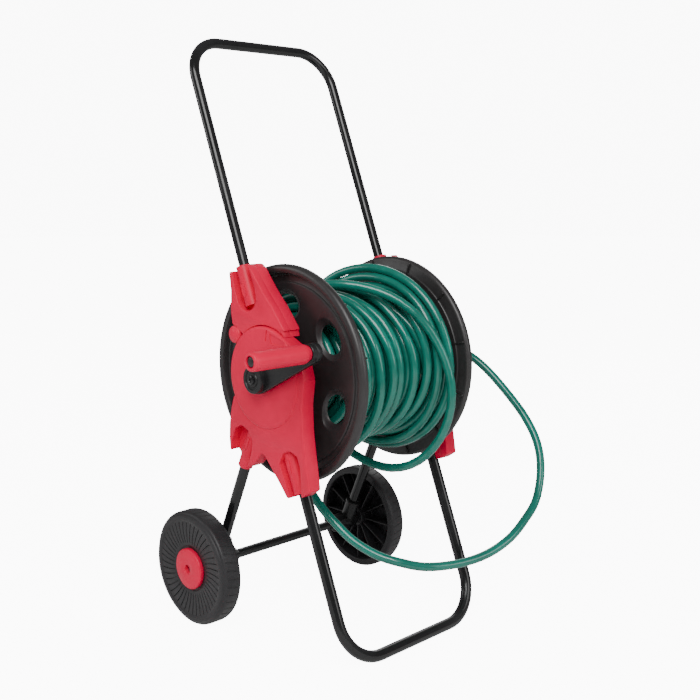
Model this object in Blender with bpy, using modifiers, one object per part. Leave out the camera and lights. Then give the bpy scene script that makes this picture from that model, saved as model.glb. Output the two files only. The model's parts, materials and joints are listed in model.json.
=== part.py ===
"""Garden hose reel cart: a two-wheeled tubular steel stand with a hose drum.

Metres, +Z up. The origin is on the ground under the middle of the foot bar.
X runs along the drum axis: the crank is on the left (-X) and the water inlet
on the right (+X). Y runs from the foot bar back to the wheels.
"""
import bpy
import bmesh
from math import asin, atan2, cos, degrees, pi, radians, sin, tan
from mathutils import Matrix, Vector
from mathutils.geometry import interpolate_bezier

# ---------------------------------------------------------------- driving sizes
GAP = 0.0003                    # left between faces that touch on the real cart

DRUM_Z = 0.464                  # height of the drum axis
WHEEL_R = 0.103
WHEEL_HALF_WIDTH = 0.019
WHEEL_X = 0.209                 # middle of the tyre
AXLE_BACK = 0.160               # axle behind the drum axis
FRONT_LEAN = radians(21.5)      # handle and front leg, from upright
TUBE_RES = 4                    # bevel resolution that gives a tube 12 sides
FACET = radians(15)             # half the angle of one of those sides

LEG_R = 0.010
LEG_WALL = 0.0012
LEG_X = 0.159
LEG_CORNER = 0.072
HANDLE_R = 0.009
HANDLE_WALL = 0.0010
HANDLE_X = 0.162
HANDLE_REACH = 0.602            # from the drum axis to the hand bar
HANDLE_CORNER = 0.068
REAR_R = 0.0095
REAR_X = 0.164
SOCKET_START = 0.098            # tube ends, from the drum axis
REAR_END = 0.372

AXLE_TUBE_R = 0.0085
AXLE_ROD_R = 0.005

FLANGE_R = 0.185
FLANGE_HOLE_HIGH = 0.024        # half the hole's size along the drum side's radius
FLANGE_HOLE_WIDE = 0.033        # half its size round the drum side
FLANGE_HOLE_PITCH_R = 0.1135
FLANGE_HOLES = 6
FLANGE_HOLE_START = radians(84)
CORE_R = 0.061
CORE_WALL = 0.0025
SHAFT_R = 0.012
BUSH_R = 0.0155

PLATE_IN = 0.157                # side bracket, inner and outer faces
PLATE_OUT = 0.180
DISC_R = 0.086
DISC_OUT = 0.184
UPPER_IN = 0.145
SOCKET_R = 0.0138

CRANK_R = 0.147                 # drum axis to grip axis
CRANK_ANGLE = radians(156)      # from +Y, towards +Z
GRIP_BASE = 0.2073
GRIP_END = 0.320

HOSE_D = 0.0155
HOSE_SPACING = 2.4 * HOSE_D     # between the points of a hose tube
OUTLET_X = 0.096                # the nipple that the hose starts from
OUTLET_ANGLE = radians(200)
KNOB_R = 0.0153
KNOB_BACK = 0.164               # inner side of the knob's head
KNOB_ANGLE = radians(38.7)      # from +Y, towards +Z
KNOB_Y = 0.1025 * cos(KNOB_ANGLE)
KNOB_Z = 0.1025 * sin(KNOB_ANGLE)

FOOT_Z = LEG_R * cos(FACET)     # the foot bar lies on one of its flat sides
DRUM_Y = (DRUM_Z - FOOT_Z) * tan(FRONT_LEAN)
AXLE_Y = DRUM_Y + AXLE_BACK
AXLE_Z = WHEEL_R
REAR_LEAN = atan2(AXLE_BACK, DRUM_Z - AXLE_Z)
DRUM = Vector((0.0, DRUM_Y, DRUM_Z))
UP = Vector((0.0, sin(FRONT_LEAN), cos(FRONT_LEAN)))        # along the handle
REAR = Vector((0.0, sin(REAR_LEAN), -cos(REAR_LEAN)))       # down the rear legs
SIDES = (("left", -1), ("right", 1))


# ---------------------------------------------------------------- scene helpers
def clear_scene():
    for obj in list(bpy.data.objects):
        bpy.data.objects.remove(obj, do_unlink=True)


def make_collection(name):
    group = bpy.data.collections.new(name)
    bpy.context.scene.collection.children.link(group)
    return group


def make_material(name, colour, roughness, metallic=0.0):
    material = bpy.data.materials.new(name)
    material.use_nodes = True
    shader = material.node_tree.nodes["Principled BSDF"]
    shader.inputs["Base Color"].default_value = (*colour, 1.0)
    shader.inputs["Roughness"].default_value = roughness
    shader.inputs["Metallic"].default_value = metallic
    material.diffuse_color = (*colour, 1.0)
    return material


def place(obj, group, material=None):
    """Moves an object into a collection and gives it its material."""
    for old in list(obj.users_collection):
        old.objects.unlink(obj)
    group.objects.link(obj)
    if material:
        obj.data.materials.clear()
        obj.data.materials.append(material)
    return obj


def as_cutter(obj):
    obj.hide_render = True
    obj.display_type = "WIRE"
    return obj


def smooth(obj, angle=radians(35)):
    obj.data.shade_smooth()
    obj.data.set_sharp_from_angle(angle=angle)
    return obj


def combine(target, other, operation):
    """Adds a live Boolean with the EXACT solver."""
    modifier = target.modifiers.new(f"{operation} {other.name}", "BOOLEAN")
    modifier.operation = operation
    modifier.solver = "EXACT"
    modifier.object = other
    return target


# ---------------------------------------------------------------- shape helpers
def turn_to(direction):
    """Rotation that takes local +Z to a direction."""
    return Vector(direction).to_track_quat("Z", "Y").to_euler()


def rod(name, radius, start, end, sides=24):
    """A plain cylinder between two points."""
    start, end = Vector(start), Vector(end)
    bpy.ops.mesh.primitive_cylinder_add(vertices=sides, radius=radius, depth=(end - start).length,
                                        location=(start + end) / 2, rotation=turn_to(end - start))
    obj = bpy.context.object
    obj.name = name
    return obj


def block(name, size, location, rotation=(0, 0, 0), bevel=0.0):
    bpy.ops.mesh.primitive_cube_add(size=1, location=location, rotation=rotation)
    obj = bpy.context.object
    obj.name = name
    obj.data.transform(Matrix.Diagonal((*size, 1)))
    if bevel:
        modifier = obj.modifiers.new("Edges", "BEVEL")
        modifier.width = bevel
        modifier.segments = 1
    return obj


def turned(name, profile, location, direction, steps=32, closed=True):
    """Turns (radius, height) points about local Z, which points along a direction."""
    mesh = bpy.data.meshes.new(name)
    points = [(radius, 0.0, height) for radius, height in profile]
    count = len(points)
    edges = [(i, i + 1) for i in range(count - 1)]
    if closed:
        edges.append((count - 1, 0))
    mesh.from_pydata(points, edges, [])
    obj = bpy.data.objects.new(name, mesh)
    obj.location = location
    obj.rotation_euler = turn_to(direction)
    screw = obj.modifiers.new("Turn", "SCREW")
    screw.steps = steps
    screw.render_steps = steps
    screw.use_merge_vertices = True
    screw.merge_threshold = 0.00001
    bpy.context.scene.collection.objects.link(obj)
    return obj


def ring(name, inner, outer, low, high, location, direction, steps=24):
    profile = [(inner, high), (outer, high), (outer, low), (inner, low)]
    return turned(name, profile, location, direction, steps)


def flat_shape(name, points, low, high, side):
    """A flat outline of (y, z) points about the drum axis, thick from |x| = low to high."""
    curve = bpy.data.curves.new(name, "CURVE")
    curve.dimensions = "2D"
    curve.fill_mode = "BOTH"
    curve.extrude = (high - low) / 2
    spline = curve.splines.new("POLY")
    spline.points.add(len(points) - 1)
    for point, (y, z) in zip(spline.points, points):
        point.co = (y, z, 0.0, 1.0)
    spline.use_cyclic_u = True
    guide = bpy.data.objects.new(name, curve)
    guide.location = DRUM + Vector((side * (low + high) / 2, 0.0, 0.0))
    guide.rotation_euler = (pi / 2, 0.0, pi / 2)
    return meshed(guide)


def meshed(guide):
    """Turns a curve object into a mesh object with its caps welded."""
    bpy.context.scene.collection.objects.link(guide)
    bpy.context.view_layer.update()
    evaluated = guide.evaluated_get(bpy.context.evaluated_depsgraph_get())
    mesh = bpy.data.meshes.new_from_object(evaluated)
    shape = bmesh.new()
    shape.from_mesh(mesh)
    bmesh.ops.remove_doubles(shape, verts=shape.verts, dist=0.00001)
    shape.to_mesh(mesh)
    shape.free()
    name, matrix = guide.name, guide.matrix_world.copy()
    bpy.data.objects.remove(guide, do_unlink=True)
    obj = bpy.data.objects.new(name, mesh)
    obj.matrix_world = matrix
    bpy.context.scene.collection.objects.link(obj)
    return obj


def tube(name, points, radius, resolution, wall=0.0, tilt=0.0):
    """A round tube along points: solid, or hollow with open ends when it has a wall."""
    curve = bpy.data.curves.new(name, "CURVE")
    curve.dimensions = "3D"
    curve.bevel_depth = radius
    curve.bevel_resolution = resolution
    curve.use_fill_caps = not wall
    spline = curve.splines.new("POLY")
    spline.points.add(len(points) - 1)
    for point, place_at in zip(spline.points, points):
        point.co = (*place_at, 1.0)
        point.tilt = tilt
    obj = meshed(bpy.data.objects.new(name, curve))
    if wall:
        shell = obj.modifiers.new("Wall", "SOLIDIFY")
        shell.thickness = wall
        shell.offset = -1.0
    return obj


def arc(radius, start, end, steps, centre=(0.0, 0.0)):
    """Points of an arc, angles in degrees."""
    angles = [radians(start + (end - start) * i / steps) for i in range(steps + 1)]
    return [(centre[0] + radius * cos(a), centre[1] + radius * sin(a)) for a in angles]


def u_path(half_width, direction, start, reach, corner, steps=6):
    """A U in the plane of X and a direction, both legs rising from the drum axis."""
    def at(x, along):
        return Vector((x, 0.0, 0.0)) + DRUM + direction * along
    left = [at(-half_width, start)]
    for i in range(steps + 1):
        turn = pi / 2 * i / steps
        left.append(at(-half_width + corner * (1 - cos(turn)), reach - corner * (1 - sin(turn))))
    return left + [Vector((-p.x, p.y, p.z)) for p in reversed(left)]


def smooth_route(route, spacing):
    """Evenly spaced points on a smooth curve through a hand-chosen route."""
    route = [Vector(p) for p in route]
    ends = [route[0] * 2 - route[1]] + route + [route[-1] * 2 - route[-2]]
    fine = []
    for i in range(1, len(ends) - 2):
        reach_in = (ends[i + 1] - ends[i - 1]) / 6
        reach_out = (ends[i + 2] - ends[i]) / 6
        piece = interpolate_bezier(ends[i], ends[i] + reach_in, ends[i + 1] - reach_out, ends[i + 1], 24)
        fine += piece[:-1]
    fine.append(route[-1])
    lengths = [0.0]
    for a, b in zip(fine, fine[1:]):
        lengths.append(lengths[-1] + (b - a).length)
    count = round(lengths[-1] / spacing)
    points = []
    for k in range(count + 1):
        target = lengths[-1] * k / count
        index = max(i for i, length in enumerate(lengths) if length <= target + 1e-9)
        index = min(index, len(fine) - 2)
        part = (target - lengths[index]) / (lengths[index + 1] - lengths[index])
        points.append(fine[index].lerp(fine[index + 1], part))
    return points


# ---------------------------------------------------------------- steel frame
def make_frame_tubes():
    foot_reach = (DRUM_Z - FOOT_Z) / cos(FRONT_LEAN)
    path = u_path(LEG_X, -UP, SOCKET_START, foot_reach, LEG_CORNER)
    leg = tube("front_leg", path, LEG_R, TUBE_RES, LEG_WALL, tilt=FRONT_LEAN + FACET)
    place(smooth(leg), parts, black_steel)
    for word, side in SIDES:
        ends = [DRUM + REAR * t + Vector((side * REAR_X, 0, 0)) for t in (SOCKET_START, REAR_END)]
        place(smooth(tube(f"rear_leg_{word}", ends, REAR_R, TUBE_RES, LEG_WALL)), parts, black_steel)


def make_axle():
    middle = Vector((0.0, AXLE_Y, AXLE_Z))
    ends = [middle + Vector((side * 0.1885, 0, 0)) for word, side in SIDES]
    place(smooth(tube("axle_tube", ends, AXLE_TUBE_R, TUBE_RES, LEG_WALL)), parts, black_steel)
    ends = [middle + Vector((side * 0.2245, 0, 0)) for word, side in SIDES]
    place(smooth(rod("axle_rod", AXLE_ROD_R, *ends, sides=20)), parts, bare_steel)


def make_axle_tee(word, side):
    """A moulded tee: a sleeve along the axle and a sleeve up the rear leg."""
    centre = Vector((side * REAR_X, AXLE_Y, AXLE_Z))
    inner = Vector((side * 0.122, AXLE_Y, AXLE_Z))
    outer = Vector((side * 0.1865, AXLE_Y, AXLE_Z))
    size = (0.0645, 0.0270, 0.0270)
    tee = block(f"axle_tee_{word}", size, (inner + outer) / 2, (REAR_LEAN, 0, 0), bevel=0.004)
    sleeve_end = DRUM + Vector((side * REAR_X, 0, 0)) + REAR * 0.345
    combine(tee, cutter(rod(f"tee_sleeve_{word}", 0.0138, sleeve_end, centre)), "UNION")
    leg_bore = (DRUM + Vector((side * REAR_X, 0, 0)) + REAR * (REAR_END + GAP),
                DRUM + Vector((side * REAR_X, 0, 0)) + REAR * 0.335)
    combine(tee, cutter(rod(f"tee_leg_bore_{word}", REAR_R + 2 * GAP, *leg_bore)), "DIFFERENCE")
    reach = Vector((side * 0.08, 0, 0))
    bore = rod(f"tee_axle_bore_{word}", AXLE_TUBE_R + 2 * GAP, inner - reach, outer + reach)
    combine(tee, cutter(bore), "DIFFERENCE")
    place(smooth(tee), parts, black_plastic)


def cutter(obj):
    return place(as_cutter(obj), cutters)


# ---------------------------------------------------------------- side brackets
def lower_outline():
    """Round the drum axis: the disc, the front wing, the front and the rear sockets."""
    disc = arc(DISC_R, -22, 127, 18)
    front = [(-0.074, 0.064), (-0.091, 0.036), (-0.099, 0.006), (-0.093, -0.034), (-0.095, -0.080),
             (-0.103, -0.130), (-0.110, -0.172), (-0.092, -0.184), (-0.056, -0.193)]
    crotch = [(-0.040, -0.175), (0.002, -0.128), (0.009, -0.128)]
    rear = [(0.030, -0.153), (0.050, -0.162), (0.083, -0.168), (0.086, -0.140), (0.093, -0.138),
            (0.095, -0.118), (0.093, -0.090), (0.087, -0.062), (0.080, -0.042)]
    return disc + front + crotch + rear


def upper_outline():
    """The handle socket: an arc that runs round the disc, and a tapering body."""
    seat = arc(DISC_R + 0.001, 124, 49, 12)
    body = [(0.084, 0.080), (0.088, 0.105), (0.087, 0.139), (0.091, 0.169), (0.053, 0.184),
            (0.043, 0.184), (0.034, 0.176), (0.004, 0.142), (-0.022, 0.116), (-0.050, 0.082)]
    return seat + body


def socket_recess(word, side, along, across, start, end, mouth, tip):
    """A pocket with a round end in the outer face, with a snap tongue left standing in it."""
    def at(t, s):
        return (along.y * t + across.y * s, along.z * t + across.z * s)
    straight = [at(end, -mouth), at(end, mouth)]
    middle = (start + end) / 2
    bow = []
    for i in range(9):
        turn = pi * i / 8
        bow.append(at(middle - (middle - start) * sin(turn), cos(turn) * tip))
    pocket = flat_shape(f"recess_{word}", straight + bow, PLATE_OUT - 0.0055, PLATE_OUT + 0.006, side)
    tongue_start = start + 0.007
    tongue = [at(end - 0.002, -0.0065), at(end - 0.002, 0.0065), at(tongue_start + 0.003, 0.0065),
              at(tongue_start, 0.004), at(tongue_start, -0.004), at(tongue_start + 0.003, -0.0065)]
    snap = flat_shape(f"tongue_{word}", tongue, PLATE_OUT - 0.0065, PLATE_OUT - 0.0015, side)
    return cutter(pocket), cutter(snap)


def socket_barrel(word, side, x, direction, start, end):
    """The round wall that holds a tube end inside a bracket."""
    foot = DRUM + Vector((side * x, 0, 0))
    return cutter(rod(f"barrel_{word}", SOCKET_R, foot + direction * start, foot + direction * end, 16))


def tube_bore(word, side, x, direction, end, radius):
    foot = DRUM + Vector((side * x, 0, 0))
    start = SOCKET_START - GAP
    return cutter(rod(f"bore_{word}", radius + 2 * GAP, foot + direction * start, foot + direction * end, 16))


def make_side_bracket(word, side):
    """The lower moulding: it carries the drum, the front leg and a rear leg."""
    across_front = Vector((0.0, UP.z, -UP.y))
    across_rear = Vector((0.0, REAR.z, -REAR.y))
    plate = flat_shape(f"side_bracket_{word}", lower_outline(), PLATE_IN, PLATE_OUT, side)
    disc = cutter(flat_shape(f"disc_{word}", arc(DISC_R, 0, 345, 23), PLATE_IN, DISC_OUT, side))
    combine(plate, disc, "UNION")
    combine(plate, socket_barrel(f"front_{word}", side, LEG_X, -UP, 0.085, 0.196), "UNION")
    combine(plate, socket_barrel(f"rear_{word}", side, REAR_X, REAR, 0.085, 0.180), "UNION")
    hub = cutter(rod(f"hub_{word}", 0.030, DRUM + Vector((side * 0.1405, 0, 0)),
                     DRUM + Vector((side * 0.160, 0, 0)), 24))
    combine(plate, hub, "UNION")
    recesses = ((f"front_{word}", -UP, across_front, 0.128, 0.210, 0.024, 0.024),
                (f"rear_{word}", REAR, across_rear, 0.108, 0.190, 0.018, 0.020))
    for name, along, across, start, end, mouth, tip in recesses:
        pocket, snap = socket_recess(name, side, along, across, start, end, mouth, tip)
        combine(plate, pocket, "DIFFERENCE")
        combine(plate, snap, "UNION")
    combine(plate, tube_bore(f"front_{word}", side, LEG_X, -UP, 0.230, LEG_R), "DIFFERENCE")
    combine(plate, tube_bore(f"rear_{word}", side, REAR_X, REAR, 0.210, REAR_R), "DIFFERENCE")
    bore = rod(f"bush_bore_{word}", BUSH_R + GAP, DRUM + Vector((side * 0.13, 0, 0)),
               DRUM + Vector((side * 0.20, 0, 0)), 24)
    combine(plate, cutter(bore), "DIFFERENCE")
    place(plate, parts, red_plastic)


def knob_place(word, side, radius, low, high, sides=20):
    """A cutter on the knob's axis, from |x| = low to high."""
    foot = DRUM + Vector((0, KNOB_Y, KNOB_Z))
    return cutter(rod(word, radius, foot + Vector((side * low, 0, 0)),
                      foot + Vector((side * high, 0, 0)), sides))


def make_handle_socket(word, side):
    """The upper moulding: it holds the handle and swings round the disc."""
    across = Vector((0.0, UP.z, -UP.y))
    plate = flat_shape(f"handle_socket_{word}", upper_outline(), UPPER_IN, PLATE_OUT, side)
    room = knob_place(f"knob_room_{word}", side, KNOB_R + 2 * GAP, KNOB_BACK - GAP, 0.190)
    combine(plate, room, "DIFFERENCE")
    guide = arc(KNOB_R - GAP, -150, 20, 8, (KNOB_Y, KNOB_Z)) + [(0.087, 0.095), (0.066, 0.080)]
    lug = flat_shape(f"knob_lug_{word}", guide, 0.150, KNOB_BACK - 2 * GAP, side)
    combine(plate, cutter(lug), "UNION")
    pocket, snap = socket_recess(f"upper_{word}", side, UP, across, 0.114, 0.205, 0.022, 0.025)
    combine(plate, pocket, "DIFFERENCE")
    combine(plate, snap, "UNION")
    combine(plate, tube_bore(f"upper_{word}", side, HANDLE_X, UP, 0.230, HANDLE_R), "DIFFERENCE")
    combine(plate, knob_place(f"knob_bore_{word}", side, 0.0053, 0.140, 0.170), "DIFFERENCE")
    place(plate, parts, red_plastic)


def make_lock_knob(word, side):
    """A domed pull knob that locks the handle socket to the disc; its stem slides in the lug."""
    profile = [(0.0, 0.1830), (0.0060, 0.1826), (0.0110, 0.1812), (0.0140, 0.1790), (KNOB_R, 0.1760),
               (KNOB_R, KNOB_BACK), (0.0048, KNOB_BACK), (0.0048, 0.1480), (0.0, 0.1480)]
    foot = DRUM + Vector((0, KNOB_Y, KNOB_Z))
    knob = turned(f"lock_knob_{word}", profile, foot, Vector((side, 0, 0)), 20, closed=False)
    place(smooth(knob), parts, red_plastic)


def make_handle():
    path = u_path(HANDLE_X, UP, SOCKET_START, HANDLE_REACH, HANDLE_CORNER)
    place(smooth(tube("handle_tube", path, HANDLE_R, TUBE_RES, HANDLE_WALL)), parts, black_steel)


# ---------------------------------------------------------------- wheels
def make_wheel(word, side):
    centre = (side * WHEEL_X, AXLE_Y, AXLE_Z)
    half = WHEEL_HALF_WIDTH
    profile = [(0.0053, 0.0130), (0.0375, 0.0130), (0.0400, 0.0165), (0.0860, half), (0.0920, 0.0170),
               (0.0970, 0.0165), (0.1015, 0.0145), (WHEEL_R, 0.0100), (WHEEL_R, -0.0140),
               (0.1000, -half), (0.0900, -half), (0.0885, 0.0110), (0.0200, 0.0080), (0.0175, -half),
               (0.0053, -half)]
    wheel = turned(f"wheel_{word}", profile, centre, (side, 0, 0), 32)
    place(smooth(wheel), parts, black_plastic)
    cap_profile = [(0.0, 0.0228), (0.0060, 0.0228), (0.0300, 0.0222), (0.0350, 0.0200), (0.0369, 0.0165),
                   (0.0369, 0.0134), (0.0345, 0.0134), (0.0330, 0.0190), (0.0, 0.0190)]
    cap = turned(f"hub_cap_{word}", cap_profile, centre, (side, 0, 0), 24, closed=False)
    place(smooth(cap), parts, red_plastic)
    clip = ring(f"axle_clip_{word}", AXLE_ROD_R + GAP, 0.0100, 0.0134, 0.0150, centre, (side, 0, 0), 20)
    place(smooth(clip), parts, bare_steel)


# ---------------------------------------------------------------- drum
def make_flange(word, side):
    """A dished side of the drum with a round rim bead, a hub and a ring of oval holes."""
    profile = [(SHAFT_R + GAP, 0.1385), (0.0280, 0.1385), (0.0300, 0.1215), (0.0800, 0.1205),
               (0.1580, 0.1260), (0.1680, 0.1245), (0.1710, 0.1345), (0.1775, 0.1362),
               (FLANGE_R, 0.1310), (FLANGE_R, 0.1240), (0.1815, 0.1200), (0.0580, 0.1160),
               (0.0580, 0.1090), (0.0545, 0.1090), (0.0535, 0.1165), (SHAFT_R + GAP, 0.1165)]
    flange = turned(f"flange_{word}", profile, DRUM, (side, 0, 0), 36)
    for i in range(FLANGE_HOLES):
        angle = FLANGE_HOLE_START + 2 * pi * i / FLANGE_HOLES
        outline = []
        for k in range(16):
            turn = 2 * pi * k / 16
            out = FLANGE_HOLE_PITCH_R + FLANGE_HOLE_HIGH * cos(turn)
            across = FLANGE_HOLE_WIDE * sin(turn)
            outline.append((out * cos(angle) - across * sin(angle), out * sin(angle) + across * cos(angle)))
        hole = flat_shape(f"flange_hole_{word}_{i}", outline, 0.105, 0.140, side)
        combine(flange, cutter(hole), "DIFFERENCE")
    place(smooth(flange), parts, black_plastic)


def make_drum_core():
    low, high = -0.1155, 0.1155
    core = ring("drum_core", CORE_R - CORE_WALL, CORE_R, low, high, DRUM, (1, 0, 0), 32)
    out = Vector((0, cos(OUTLET_ANGLE), sin(OUTLET_ANGLE)))
    foot = DRUM + Vector((OUTLET_X, 0, 0))
    combine(core, cutter(rod("core_slot", 0.0085, foot + out * 0.040, foot + out * 0.080, 20)), "DIFFERENCE")
    place(smooth(core), parts, black_plastic)


def make_water_elbow():
    """The turning half of the water joint: a journal, and a nipple out through the core."""
    foot = DRUM + Vector((OUTLET_X, 0, 0))
    out = Vector((0, cos(OUTLET_ANGLE), sin(OUTLET_ANGLE)))
    elbow = rod("water_elbow", SHAFT_R, DRUM + Vector((0.082, 0, 0)), DRUM + Vector((0.152, 0, 0)), 20)
    combine(elbow, cutter(rod("elbow_nipple", 0.0075, foot, foot + out * 0.0605, 20)), "UNION")
    combine(elbow, cutter(rod("elbow_bore", 0.0080, DRUM + Vector((0.088, 0, 0)),
                              DRUM + Vector((0.160, 0, 0)), 16)), "DIFFERENCE")
    combine(elbow, cutter(rod("nipple_bore", 0.0052, foot, foot + out * 0.070, 16)), "DIFFERENCE")
    place(smooth(elbow), parts, black_plastic)


def make_water_inlet():
    """The still half of the water joint, fixed to the right bracket, and its seal."""
    profile = [(0.0055, 0.2240), (0.0080, 0.2240), (0.0088, 0.2200), (0.0088, 0.2160), (0.0075, 0.2150),
               (0.0075, 0.2080), (0.0095, 0.2060), (0.0095, 0.1970), (0.0185, 0.1965), (0.0185, 0.1875),
               (0.0150, 0.1875), (0.0150, 0.1540), (0.0077, 0.1535), (0.0077, 0.1340), (0.0066, 0.1340),
               (0.0066, 0.1310), (0.0077, 0.1310), (0.0077, 0.1200), (0.0055, 0.1200)]
    place(smooth(turned("water_inlet", profile, DRUM, (1, 0, 0), 16)), parts, black_plastic)
    seal = ring("water_seal", 0.0067, 0.0078, 0.1313, 0.1337, DRUM, (1, 0, 0), 20)
    place(smooth(seal), parts, rubber)


def make_bushes():
    for word, side in SIDES:
        high = 0.1845 if side < 0 else 0.1530
        bush = ring(f"drum_bush_{word}", SHAFT_R + GAP, BUSH_R, 0.1410, high, DRUM, (side, 0, 0), 20)
        place(smooth(bush), parts, white_nylon)


# ---------------------------------------------------------------- crank
def crank_outline(hub_r, tip_r):
    """Two circles and their outer tangents: the hub at the drum axis, the tip at the grip."""
    swing = asin((hub_r - tip_r) / CRANK_R)
    tip = (CRANK_R * cos(CRANK_ANGLE), CRANK_R * sin(CRANK_ANGLE))
    open_at = degrees(CRANK_ANGLE + pi / 2 - swing)
    close_at = degrees(CRANK_ANGLE - pi / 2 + swing)
    return arc(hub_r, open_at, close_at + 360, 14) + arc(tip_r, close_at, open_at, 10, tip)


def make_crank():
    tip = DRUM + Vector((0, cos(CRANK_ANGLE), sin(CRANK_ANGLE))) * CRANK_R
    shaft = ring("crank_shaft", 0.0045, SHAFT_R, 0.1100, 0.1965, DRUM, (-1, 0, 0), 20)
    place(smooth(shaft), parts, black_plastic)
    arm = flat_shape("crank_arm", crank_outline(0.025, 0.0155), 0.1880, 0.1980, -1)
    hub = rod("arm_hub", 0.0235, DRUM - Vector((0.190, 0, 0)), DRUM - Vector((0.208, 0, 0)), 24)
    combine(arm, cutter(hub), "UNION")
    boss = rod("arm_boss", 0.0145, tip - Vector((0.190, 0, 0)), tip - Vector((0.207, 0, 0)), 16)
    combine(arm, cutter(boss), "UNION")
    socket = rod("arm_socket", SHAFT_R + GAP, DRUM - Vector((0.180, 0, 0)), DRUM - Vector((0.1968, 0, 0)), 20)
    combine(arm, cutter(socket), "DIFFERENCE")
    for name, radius, centre in (("arm_screw_bore", 0.0043, DRUM), ("arm_pin_bore", 0.0043, tip)):
        hole = rod(name, radius, centre - Vector((0.170, 0, 0)), centre - Vector((0.220, 0, 0)), 16)
        combine(arm, cutter(hole), "DIFFERENCE")
    place(smooth(arm), parts, black_plastic)
    screw_profile = [(0.0, 0.2112), (0.0040, 0.2112), (0.0075, 0.2100), (0.0075, 0.2083), (0.0039, 0.2083),
                     (0.0039, 0.1700), (0.0, 0.1700)]
    screw = turned("crank_screw", screw_profile, DRUM, (-1, 0, 0), 16, closed=False)
    place(smooth(screw), parts, bare_steel)
    make_grip(tip)


def make_grip(tip):
    profile = [(0.0043, 0.3160), (0.0092, 0.3160), (0.0092, GRIP_END), (0.0120, GRIP_END), (0.0145, 0.3175),
               (0.0155, 0.2110), (0.0150, GRIP_BASE), (0.0043, GRIP_BASE)]
    place(smooth(turned("crank_grip", profile, tip, (-1, 0, 0), 20)), parts, red_plastic)
    pin_profile = [(0.0, 0.3190), (0.0065, 0.3190), (0.0080, 0.3180), (0.0080, 0.3163), (0.0040, 0.3163),
                   (0.0040, 0.1885), (0.0, 0.1885)]
    place(smooth(turned("grip_pin", pin_profile, tip, (-1, 0, 0), 16, closed=False)), parts, bare_steel)


# ---------------------------------------------------------------- hose
LOOP_ROUTE = [                  # from the connector round to the wound hose, about the drum axis
    (0.2640, 0.000, 0.000), (0.281, 0.000, 0.000), (0.302, -0.008, -0.005), (0.322, -0.025, -0.018),
    (0.336, -0.053, -0.041), (0.343, -0.096, -0.079), (0.3415, -0.146, -0.124), (0.334, -0.182, -0.168),
    (0.314, -0.206, -0.213), (0.281, -0.221, -0.259), (0.238, -0.228, -0.286), (0.189, -0.230, -0.310),
    (0.135, -0.222, -0.327), (0.080, -0.205, -0.334), (0.024, -0.180, -0.332), (-0.013, -0.150, -0.322),
    (-0.037, -0.118, -0.3105), (-0.057, -0.083, -0.2895), (-0.067, -0.053, -0.266),
    (-0.0735, -0.022, -0.2413), (-0.074, 0.006, -0.218), (-0.077, 0.038, -0.190),
    (-0.082, 0.070, -0.158), (-0.088, 0.096, -0.125), (-0.092, 0.1160, -0.084)]

SLACK_ROUTE = [                 # one slack turn off the wound hose: x, degrees from +Y, radius
    (0.032, 131, 0.1565), (0.048, 144, 0.158), (0.064, 158, 0.161), (0.078, 172, 0.168), (0.086, 186, 0.179),
    (0.080, 200, 0.195), (0.073, 216, 0.203), (0.068, 232, 0.205), (0.064, 247, 0.204), (0.058, 262, 0.192),
    (0.050, 276, 0.177), (0.040, 292, 0.164), (0.028, 311, 0.1555)]


def round_drum(x, degrees_up, radius):
    """A point given by its angle round the drum axis."""
    turn = radians(degrees_up)
    return DRUM + Vector((x, radius * cos(turn), radius * sin(turn)))


def make_hose():
    """The free loop, the slack turn and the outer shape of the wound hose."""
    profile = [(CORE_R + GAP, 0.1145), (0.1300, 0.1145), (0.1470, 0.1020), (0.1500, 0.0800),
               (0.1440, 0.0200), (0.1350, -0.0500), (0.1340, -0.0980), (0.1200, -0.1130),
               (CORE_R + GAP, -0.1130)]
    place(smooth(turned("hose_wound", profile, DRUM, (1, 0, 0), 32)), parts, green_hose)
    loop = smooth_route([DRUM + Vector(p) for p in LOOP_ROUTE], HOSE_SPACING)
    place(smooth(tube("hose_loop", loop, HOSE_D / 2, 2)), parts, green_hose)
    slack = smooth_route([round_drum(*p) for p in SLACK_ROUTE], HOSE_SPACING)
    place(smooth(tube("hose_slack_turn", slack, HOSE_D / 2, 2)), parts, green_hose)


def make_connector():
    """The hose end fitting, pushed on the inlet's nipple."""
    profile = [(0.0062, 0.2620), (0.0125, 0.2620), (0.0145, 0.2580), (0.0155, 0.2400), (0.0165, 0.2380),
               (0.0165, 0.2060), (0.0150, 0.2000), (0.0100, 0.2000), (0.0100, 0.2130), (0.0092, 0.2150),
               (0.0092, 0.2260), (0.0062, 0.2270)]
    place(smooth(turned("hose_connector", profile, DRUM, (1, 0, 0), 16)), parts, black_plastic)


# ---------------------------------------------------------------- build
clear_scene()
parts = make_collection("garden_hose_reel_cart")
cutters = make_collection("cutters")
black_steel = make_material("black_enamel_tube", (0.012, 0.012, 0.013), 0.22)
bare_steel = make_material("zinc_plated_steel", (0.42, 0.42, 0.43), 0.35, 1.0)
black_plastic = make_material("black_plastic", (0.028, 0.025, 0.026), 0.42)
red_plastic = make_material("red_plastic", (0.62, 0.012, 0.035), 0.38)
white_nylon = make_material("natural_nylon", (0.75, 0.74, 0.70), 0.45)
rubber = make_material("seal_rubber", (0.02, 0.02, 0.02), 0.7)
green_hose = make_material("green_pvc_hose", (0.0, 0.20, 0.135), 0.22)

make_frame_tubes()
make_axle()
for bracket_word, bracket_side in SIDES:
    make_axle_tee(bracket_word, bracket_side)
    make_side_bracket(bracket_word, bracket_side)
    make_handle_socket(bracket_word, bracket_side)
    make_lock_knob(bracket_word, bracket_side)
    make_wheel(bracket_word, bracket_side)
    make_flange(bracket_word, bracket_side)
make_handle()
make_drum_core()
make_water_elbow()
make_water_inlet()
make_bushes()
make_crank()
make_hose()
make_connector()
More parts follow.
